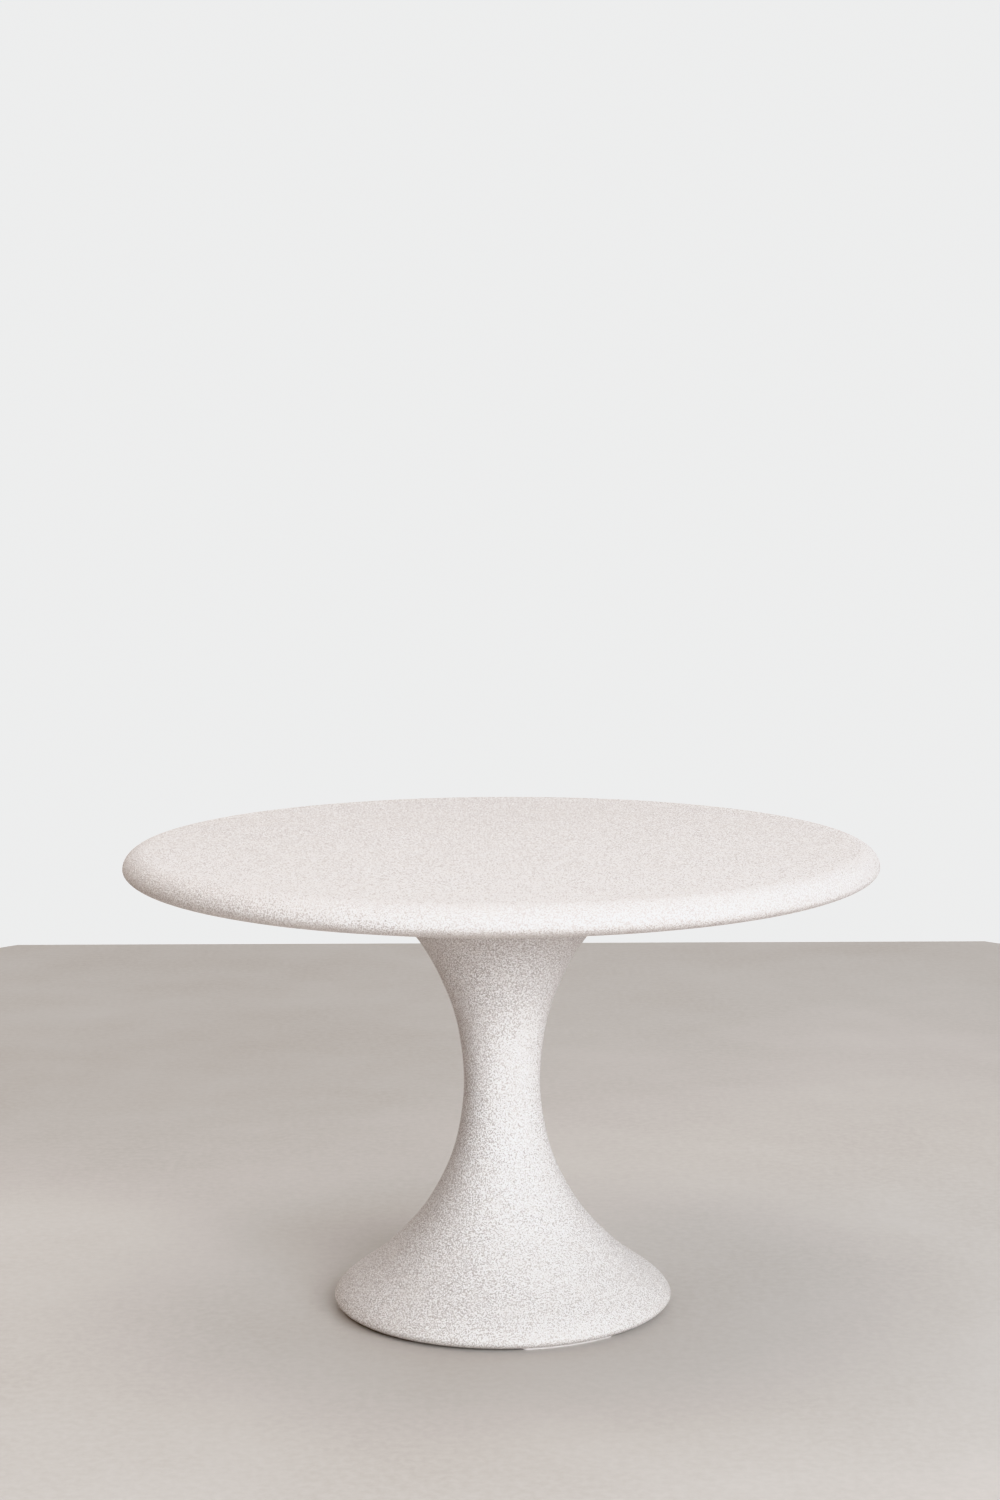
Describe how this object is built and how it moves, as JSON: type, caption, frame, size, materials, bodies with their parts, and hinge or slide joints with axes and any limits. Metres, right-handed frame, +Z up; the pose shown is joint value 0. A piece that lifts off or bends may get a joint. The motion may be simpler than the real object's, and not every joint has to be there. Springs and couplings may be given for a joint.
{
  "type": "round pedestal table",
  "caption": "Round dining table with a thick soft-edged top on a slim-waisted flared pedestal, both cast in speckled pale concrete, on levelling pads.",
  "frame": {"origin": "on the floor, under the middle of the table", "axes": "+Z up along the table's axis; -Y is the front, with one levelling pad 24.5 degrees from it towards +X"},
  "size_m": [1.1998, 1.2, 0.75],
  "materials": {
    "cast_concrete": "matte",
    "fibre_cement": "matte",
    "black_steel": "satin",
    "zinc_steel": "satin",
    "insert_brass": "satin",
    "gasket_rubber": "matte",
    "pad_nylon": "matte"
  },
  "bodies": {
    "table": {"tabletop_shell": "cast_concrete", "pedestal_shell": "cast_concrete", "underside_panel": "fibre_cement", "panel_rim_screws": "zinc_steel", "panel_hub_screws": "zinc_steel", "hub_plate": "black_steel", "spider_arms": "black_steel", "arm_inserts": "insert_brass", "arm_bolts": "zinc_steel", "arm_washers": "zinc_steel", "rod_socket_nut": "black_steel", "locating_dowels": "zinc_steel", "head_gasket": "gasket_rubber", "tie_rod": "zinc_steel", "tie_washer": "zinc_steel", "tie_nut": "zinc_steel", "tie_lock_nut": "zinc_steel", "ballast_plate": "black_steel", "foot_gasket": "gasket_rubber", "plate_inserts": "insert_brass", "plate_bolts": "zinc_steel", "plate_washers": "zinc_steel", "levelling_bushes": "insert_brass"},
    "foot_1": {"foot_pad_1": "pad_nylon", "retaining_ring_1": "zinc_steel"},
    "screw_1": {"levelling_screw_1": "zinc_steel"},
    "foot_2": {"foot_pad_2": "pad_nylon", "retaining_ring_2": "zinc_steel"},
    "screw_2": {"levelling_screw_2": "zinc_steel"},
    "foot_3": {"foot_pad_3": "pad_nylon", "retaining_ring_3": "zinc_steel"},
    "screw_3": {"levelling_screw_3": "zinc_steel"}
  },
  "joints": [
    {"name": "foot_lift_1", "type": "slide", "parent": "table", "child": "foot_1", "axis": [0, 0, -1], "range_m": [0, 0.008]},
    {"name": "screw_turn_1", "type": "hinge", "parent": "foot_1", "child": "screw_1", "pos_m": [0.09538, -0.20929, 0.0052], "axis": [0, 0, -1], "range_deg": [0, 1646]},
    {"name": "foot_lift_2", "type": "slide", "parent": "table", "child": "foot_2", "axis": [0, 0, -1], "range_m": [0, 0.008]},
    {"name": "screw_turn_2", "type": "hinge", "parent": "foot_2", "child": "screw_2", "pos_m": [0.13356, 0.18725, 0.0052], "axis": [0, 0, -1], "range_deg": [0, 1646]},
    {"name": "foot_lift_3", "type": "slide", "parent": "table", "child": "foot_3", "axis": [0, 0, -1], "range_m": [0, 0.008]},
    {"name": "screw_turn_3", "type": "hinge", "parent": "foot_3", "child": "screw_3", "pos_m": [-0.22894, 0.02204, 0.0052], "axis": [0, 0, -1], "range_deg": [0, 1646]}
  ],
  "couplings": [
    {"joint": "screw_turn_1", "follows": "foot_lift_1", "rad_per_m": 3590.4},
    {"joint": "screw_turn_2", "follows": "foot_lift_2", "rad_per_m": 3590.4},
    {"joint": "screw_turn_3", "follows": "foot_lift_3", "rad_per_m": 3590.4}
  ]
}
